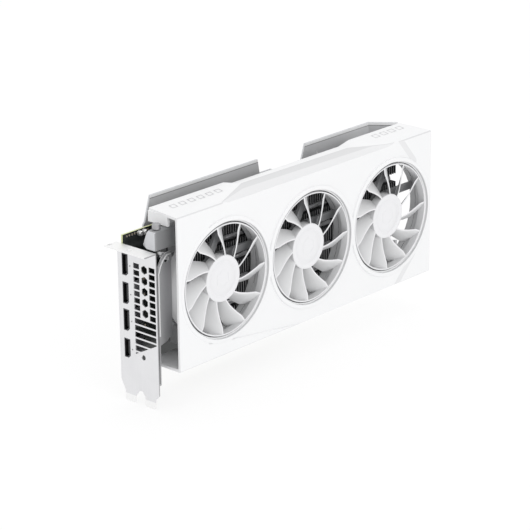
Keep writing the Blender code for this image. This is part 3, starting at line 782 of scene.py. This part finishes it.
def hub_profile():
    """The cup: a flat face with a shallow ring groove, a rounded rim and a hollow back."""
    return [
        (0.01, HUB_FACE + 0.1),
        (12.6, HUB_FACE + 0.1),
        (12.9, HUB_FACE + 0.3),
        (13.3, HUB_FACE + 0.3),
        (13.6, HUB_FACE + 0.05),
        (HUB - 1.0, HUB_FACE),
        (HUB - 0.3, HUB_FACE + 0.3),
        (HUB, HUB_FACE + 1.0),
        (HUB, HUB_BACK),
        (HUB - 1.6, HUB_BACK),
        (HUB - 1.6, HUB_FACE + 1.6),
        (1.5, HUB_FACE + 1.6),
        (1.5, -38.0),
        (0.01, -38.0),
    ]


def ring_profile():
    mid = RING - 0.5
    return [
        (mid - 0.5, RING_FACE + 0.15),
        (mid - 0.35, RING_FACE),
        (mid + 0.35, RING_FACE),
        (mid + 0.5, RING_FACE + 0.15),
        (mid + 0.5, RING_BACK),
        (mid - 0.5, RING_BACK),
    ]


def hub_badge(centre):
    """A plain raised hexagon frame on the hub."""
    outside, inside = circle(centre, 7.2, 6, 30), circle(centre, 6.0, 6, 30)
    return plate(outside, "Y", HUB_FACE - 0.05, HUB_FACE + 0.4, [inside])


def rotor_finish(face, centre):
    """The hub's face has the moulding's white, which the ring rim and leading edges take as a painted
    highlight. The blades take a duller white as painted shade, and the ring's walls a grey painted
    shade.
    """
    spot = face.calc_center_median()
    out = math.hypot(spot.x - centre[0], spot.z - centre[1])
    if out < HUB - 0.2:
        return int(spot.y < HUB_FACE + 1.2)
    if out > RING - 1.1:
        return 1 if face.normal.y < -0.6 else 2
    return int(spot.y < blade_front(out) + 0.2)


for number, centre in enumerate(FANS, 1):
    blades = bmesh.new()
    for blade in range(BLADES):
        add_blade(blades, centre, blade)
    rotor = join(lathe(centre, hub_profile(), 96), blades)
    rotor = join(rotor, lathe(centre, ring_profile(), 128))
    rotor = join(rotor, hub_badge(centre))
    bmesh.ops.remove_doubles(rotor, verts=rotor.verts, dist=1e-3)
    rotor.normal_update()
    for face in rotor.faces:
        face.material_index = rotor_finish(face, centre)
    body = f"fan_{number}"
    finishes = [blade_white_painted_shade, hub_white_and_painted_highlight, duct_painted_shade]
    publish(f"{body}_blades", rotor, finishes, body, [f"{body}_rotor"], smooth=40)
    print(body, "rotor made")

# %% [markdown]
# ## Fan motors
# Behind each rotor sits its motor on four struts inside a thin frame ring. The stator's windings hide
# in the hub, so the working part's shape is right, and rounding its edges is all it needs.

# %% Fan motors
for number in (1, 2, 3):
    motor = node_shape(f"fan_{number}_motor")
    x, z = FANS[number - 1]
    # The frame ring takes the ducts' grey painted shade.
    for face in motor.faces:
        spot = face.calc_center_median()
        face.material_index = int(math.hypot(spot.x - x, spot.z - z) > 43.0)
    publish(
        f"fan_{number}_motor_frame", motor, [motor_grey, duct_painted_shade], replaces=[f"fan_{number}_motor"],
        bevel=0.25,
    )

# %% [markdown]
# ## Fins
# Nearly a hundred thin black fins stand across the card. At this count each fin stays a plain notched
# plate of a few dozen faces. Their front edges, and the first fin's outer side, take a painted
# highlight, a paler finish than the metal would have, so that they read as separate lines deep behind
# the fans.

# %% Fins
fin_low, fin_high = span("fin_stack")
FIN_COUNT, FIN_SHEET = 96, 0.5
PIPE_RADIUS, PIPE_BACK, PIPE_FRONT = 3.0, -13.4, -28.4
PIPE_HEIGHTS = [(low.z + high.z) / 2 for low, high in (span(f"heat_pipe_{n}") for n in range(1, 5))]


def fin_outline():
    reach = PIPE_RADIUS + 0.25
    floor_y = PIPE_FRONT + reach
    outline = [(fin_high.y - 0.6, fin_high.z), (fin_high.y - 0.6, fin_low.z), (fin_low.y, fin_low.z)]
    for height in PIPE_HEIGHTS:
        outline += [(fin_low.y, height - reach), (floor_y, height - reach)]
        outline += [(floor_y, height + reach), (fin_low.y, height + reach)]
    return outline + [(fin_low.y, fin_high.z)]


fins = bmesh.new()
add_box(fins, (fin_low.x, fin_high.y - 0.8, fin_low.z), (fin_high.x, fin_high.y, fin_high.z))
fin_pitch = (fin_high.x - fin_low.x - FIN_SHEET) / (FIN_COUNT - 1)
for number in range(FIN_COUNT):
    left = fin_low.x + number * fin_pitch
    add_plate(fins, fin_outline(), "X", left, left + FIN_SHEET)
bmesh.ops.recalc_face_normals(fins, faces=fins.faces)
# Front edges and the first fin's outer side take the painted highlight.
for face in fins.faces:
    first_fin_painted_highlight = face.normal.x < -0.9 and face.calc_center_median().x < fin_low.x + FIN_SHEET
    face.material_index = int(face.normal.y < -0.9 or first_fin_painted_highlight)
publish("cooling_fins", fins, [fin_black, fin_edge_painted_highlight], replaces=["fin_stack"])
print(FIN_COUNT, "fins at", round(fin_pitch, 2), "mm")

# %% [markdown]
# ## Heat pipes
# Each pipe is two straight runs with a half-turn between them. A curve with a round bevel could draw
# it, but a disc that is extruded, spun and extruded again stays one clean mesh.

# %% Heat pipes


def pipe_shape(height):
    left_turn = fin_low.x - 4.0
    right_back, right_front = 148.0, fin_high.x - 6.0
    middle_y = (PIPE_BACK + PIPE_FRONT) / 2
    shape = bmesh.new()
    face_out = Matrix.Translation((right_back, PIPE_BACK, height)) @ Matrix.Rotation(math.pi / 2, 4, "Y")
    disc = bmesh.ops.create_circle(
        shape, cap_ends=True, radius=PIPE_RADIUS, segments=20, matrix=face_out
    )
    end = list({face for vert in disc["verts"] for face in vert.link_faces})

    def draw(faces, shift):
        pushed = bmesh.ops.extrude_face_region(shape, geom=faces)["geom"]
        verts = [item for item in pushed if isinstance(item, bmesh.types.BMVert)]
        bmesh.ops.translate(shape, verts=verts, vec=shift)
        return [item for item in pushed if isinstance(item, bmesh.types.BMFace)]

    end = draw(end, (left_turn - right_back, 0, 0))
    bent = bmesh.ops.spin(
        shape, geom=end, cent=(left_turn, middle_y, height), axis=(0, 0, 1), angle=math.pi, steps=20
    )
    end = [item for item in bent["geom_last"] if isinstance(item, bmesh.types.BMFace)]
    draw(end, (right_front - left_turn, 0, 0))
    bmesh.ops.remove_doubles(shape, verts=shape.verts, dist=1e-3)
    inner = [
        face
        for face in shape.faces
        if len(face.verts) > 4 and LEFT < face.calc_center_median().x < right_back - 1
    ]
    bmesh.ops.delete(shape, geom=inner, context="FACES_ONLY")
    bmesh.ops.recalc_face_normals(shape, faces=shape.faces)
    return shape


for number, height in enumerate(PIPE_HEIGHTS, 1):
    pipe, node = pipe_shape(height), f"heat_pipe_{number}"
    publish(f"copper_pipe_{number}", pipe, [pipe_nickel], replaces=[node])
print(len(PIPE_HEIGHTS), "heat pipes")

# %% [markdown]
# ## Slot bracket and sockets
# The bracket is one folded sheet of plated steel. Its holes and folds are already right, so a merged
# copy gets a fine rounding on every edge, and a bead is added round its ear. A brighter and a duller
# copy of the nickel are painted highlight and painted shade on it. The sockets are drawn shells, each
# with a black tongue inside that carries a row of gold contacts.

# %% Bracket and sockets
TONGUE_STEP, SHEET = 5.5, 0.9
bracket = node_shape("io_bracket")
geometry = [*bracket.verts, *bracket.edges, *bracket.faces]
bmesh.ops.bisect_plane(bracket, geom=geometry, plane_co=(0, 0, TONGUE_STEP), plane_no=(0, 0, 1))
edge_y, tab_z = span("io_bracket")[0].y, span("io_bracket")[1].z
# Painted highlight on the tab's top, the tongue tips and the ear's edges; painted shade on the ear's
# face.
for face in bracket.faces:
    spot, normal = face.calc_center_median(), face.normal
    if spot.z > tab_z - 1.2 or spot.z < TONGUE_STEP:
        face.material_index = 1
    elif spot.y < edge_y + SHEET + 0.1 and spot.x > SHEET:
        face.material_index = 2 if abs(normal.y) > 0.5 else 1
finishes = [bracket_nickel, bracket_painted_highlight, dull_steel_and_painted_shade]
publish("slot_bracket", bracket, finishes, replaces=["io_bracket"], bevel=0.12)

# The bead's bright finish is a painted highlight along the ear.
bead_path = [(2.2, 57.0), (2.2, 104.0), (4.0, 109.3), (7.0, 113.6), (10.9, 117.0), (15.0, 117.0)]
bead_back = [(15.0, 116.2), (11.2, 116.2), (7.7, 113.1), (4.8, 109.0), (3.0, 103.8), (3.0, 57.0)]
bead = plate(bead_path + bead_back, "Y", edge_y - 0.4, edge_y + 0.1)
publish("ear_bead", bead, [bracket_painted_highlight], bevel=0.15)
# A painted dark line, which stands in for the shadow in the fold between plate and ear.
fold = bmesh.new()
add_box(fold, (1.0, edge_y - 0.05, 21.0), (1.5, edge_y + 0.02, 110.0))
publish("fold_line", fold, [socket_black])

SOCKETS = ("displayport_1", "displayport_2", "displayport_3", "hdmi_port")
for socket in SOCKETS:
    shell = node_shape(socket)
    publish(f"{socket}_shell", shell, [shell_nickel], replaces=[socket], bevel=0.12)
    dress(f"{socket}_tongue", socket_black)
    tongue_low, tongue_high = span(f"{socket}_tongue")
    contacts = bmesh.new()
    count = 10
    step = (tongue_high.z - tongue_low.z) / count
    for i in range(count):
        z = tongue_low.z + step * (i + 0.5)
        for y in (tongue_low.y - 0.12, tongue_high.y):
            add_box(contacts, (tongue_low.x + 0.5, y, z - 0.25), (tongue_high.x - 1, y + 0.12, z + 0.25))
    publish(f"{socket}_contacts", contacts, [contact_gold])

# %% [markdown]
# ## Board
# The board is black with a pale green cut edge, so its faces are sorted by their direction. Gold
# contacts line the edge connector on both sides. Small parts crowd the strips that the cooler leaves
# bare: rows of tiny resistors and capacitors with bright ends.

# %% Board
board_low, board_high = span("pcb")
board = node_shape("pcb")
for face in board.faces:
    face.material_index = int(abs(face.normal.y) < 0.5)
finishes = [board_black, board_edge]
publish("circuit_board", board, finishes, replaces=["pcb"], bevel=0.08, segments=1)

CONTACT_PITCH, CONTACT_WIDTH = 1.0, 0.7
CONTACT_ROWS = ((46.2, 56.4), (59.7, 130.0))
contacts = bmesh.new()
for left, right in CONTACT_ROWS:
    for i in range(int((right - left) / CONTACT_PITCH)):
        x = left + 0.2 + i * CONTACT_PITCH
        for y in (board_low.y - 0.06, board_high.y):
            add_box(contacts, (x, y, 13.3), (x + CONTACT_WIDTH, y + 0.06, 18.6))
publish("edge_contacts", contacts, [contact_gold])


def add_small_part(shape, x, z, along_x, size, front):
    """A tiny two-ended part: a body with a metal cap at each end."""
    length, width, height = size
    half = Vector((length / 2, 0, width / 2)) if along_x else Vector((width / 2, 0, length / 2))
    base = board_low.y if front else board_high.y
    near, far = (base - height, base) if front else (base, base + height)
    body = add_box(shape, (x - half.x, near, z - half.z), (x + half.x, far, z + half.z))
    axis = 0 if along_x else 2
    planes = [Vector((x, 0, z))[axis] + side * length * 0.28 for side in (-1, 1)]
    faces = {face for vert in body for face in vert.link_faces}
    geometry = list(faces) + list({e for f in faces for e in f.edges}) + list(body)
    for plane in planes:
        spot = Vector((0, 0, 0))
        spot[axis] = plane
        normal = Vector((0, 0, 0))
        normal[axis] = 1
        cut = bmesh.ops.bisect_plane(shape, geom=geometry, plane_co=spot, plane_no=normal)
        geometry = cut["geom"]
    middle_at = Vector((x, 0, z))[axis]
    for item in geometry:
        if isinstance(item, bmesh.types.BMFace):
            away = abs(item.calc_center_median()[axis] - middle_at)
            item.material_index = int(away > length * 0.28)


small_parts = bmesh.new()
SMALL, MEDIUM = (1.6, 0.8, 0.6), (2.4, 1.4, 0.9)
for i in range(9):
    add_small_part(small_parts, 5.5 + i * 2.6, 124.2, False, SMALL, True)
    add_small_part(small_parts, 7.0 + i * 2.2, 116.5 - 1.2 * (i % 2), True, SMALL, False)
for row in range(11):
    for column in range(3):
        z = 30.0 + row * 7.6
        add_small_part(small_parts, 7.5 + column * 6.0 + row % 2, z, column != 1, MEDIUM, False)
for row in range(6):
    add_small_part(small_parts, 20.5, 40.0 + row * 12.0, False, MEDIUM, True)
print("small parts:", len(small_parts.faces), "faces")
publish("small_parts", small_parts, [part_tan, capacitor_tin])

# %% [markdown]
# ## Chips, chokes and capacitors
# Chips, chokes and plug housings are moulded blocks, so their working shapes only need rounded edges.
# A capacitor is a drawn can with a crimped groove, which the lathe turns from its profile.

# %% Chips, chokes and capacitors
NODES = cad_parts
# Start of a node's name: finish, slot, edge rounding and its segments.
BODIES = {
    "memory_chip": (chip_black, "chip_package", 0.15, 2),
    "gpu_package": (chip_black, "chip_package", 0.15, 2),
    "power_choke": (ferrite_grey, "choke", 0.5, 3),
    "power_socket": (socket_black, "socket_black", 0.2, 2),
}
for node in NODES:
    for start, (finish, slot, bevel, segments) in BODIES.items():
        if node.startswith(start):
            shape, replaced = node_shape(node), [node]
            publish(
                f"{node}_body", shape, [finish], "card", replaced, bevel=bevel, segments=segments
            )
    if node.startswith("capacitor"):
        low, high = span(node)
        centre = ((low.x + high.x) / 2, (low.z + high.z) / 2)
        radius = (high.x - low.x) / 2
        can = [
            (0.01, low.y),
            (radius - 0.9, low.y),
            (radius - 0.5, low.y + 0.15),
            (radius - 0.4, low.y + 0.5),
            (radius, low.y + 1.0),
            (radius, high.y - 1.4),
            (radius - 0.4, high.y - 1.1),
            (radius, high.y - 0.8),
            (radius, high.y),
            (0.01, high.y),
        ]
        can_shape = lathe(centre, can, 32)
        publish(f"{node}_can", can_shape, [capacitor_tin], replaces=[node])
dress("gpu_die", silicon)
block = node_shape("cold_plate")
publish("cold_plate_block", block, [pipe_nickel], replaces=["cold_plate"], bevel=0.4)

# %% [markdown]
# ## Support arm, backplate and screws
# The arm is a coated casting with soft edges, and its left end takes a painted highlight. The backplate
# is folded sheet, grey inside and silver outside, with a pale rim along its top as a painted highlight
# and a painted shadow under it, so its faces are sorted by direction and place.

# %% Arm, backplate and screws
arm = node_shape("support_arm")
# Faces turned to the bracket end take the silver as a painted highlight.
for face in arm.faces:
    face.material_index = int(face.normal.x < -0.3)
finishes = [arm_grey, silver_paint_and_painted_highlight]
publish("cast_arm", arm, finishes, replaces=["support_arm"], bevel=1.4, segments=5)
head, finishes = node_shape("arm_screw"), [dull_steel_and_painted_shade]
publish(
    "arm_screw_head", head, finishes, replaces=["arm_screw"], bevel=0.5, segments=3
)

cover = node_shape("backplate")
# The rim is a pale tone and not a flange: the plate's pale edge colour, brightened as a painted
# highlight. The dark line under it stands in for a flange's shadow.
cover_top, RIM, RIM_SHADOW, SIDE_RIM = span("backplate")[1].z, 2.1, 0.6, 200.4
rim_low = cover_top - RIM
splits = (
    ((0, 0, rim_low), (0, 0, 1)),
    ((0, 0, rim_low - RIM_SHADOW), (0, 0, 1)),
    ((SIDE_RIM, 0, 0), (1, 0, 0)),
)
for spot, direction in splits:
    geometry = [*cover.verts, *cover.edges, *cover.faces]
    bmesh.ops.bisect_plane(cover, geom=geometry, plane_co=spot, plane_no=direction)
for face in cover.faces:
    spot = face.calc_center_median()
    if face.normal.y > -0.5:
        continue
    if spot.z > rim_low or 190 < spot.x < SIDE_RIM and spot.z > 135.5:
        face.material_index = 3
    else:
        face.material_index = 2 if spot.z > rim_low - RIM_SHADOW else 1
finishes = [silver_paint_and_painted_highlight, cover_grey, arm_grey, shroud_white_and_painted_highlight]
publish(
    "back_cover", cover, finishes, replaces=["backplate"], bevel=0.35, segments=3
)
tab = plate([(212.4, 133.0), (217.0, 133.0), (213.2, 138.4)], "Y", -1.9, -1.5)
publish("cover_tab", tab, [shroud_white_and_painted_highlight], bevel=0.1)

cross = node_shape("chip_retainer")
publish("spring_cross", cross, [arm_grey], replaces=["chip_retainer"], bevel=0.2)
# Half length and half width of the cross slot in a screw, and its depth.
SLOT_LENGTH, SLOT_WIDTH, SLOT_DEPTH = 1.5, 0.28, 0.7
for number in range(1, 5):
    node = f"retainer_screw_{number}"
    low, high = span(node)
    centre = ((low.x + high.x) / 2, (low.z + high.z) / 2)
    screw = node_shape(node)
    for half_x, half_z in ((SLOT_LENGTH, SLOT_WIDTH), (SLOT_WIDTH, SLOT_LENGTH)):
        recess = bmesh.new()
        low_corner = (centre[0] - half_x, high.y - SLOT_DEPTH, centre[1] - half_z)
        add_box(recess, low_corner, (centre[0] + half_x, high.y + 1, centre[1] + half_z))
        screw = carve(screw, recess)
    publish(f"spring_screw_{number}", screw, [screw_steel], replaces=[node])
print("arm, backplate and spring cross made")
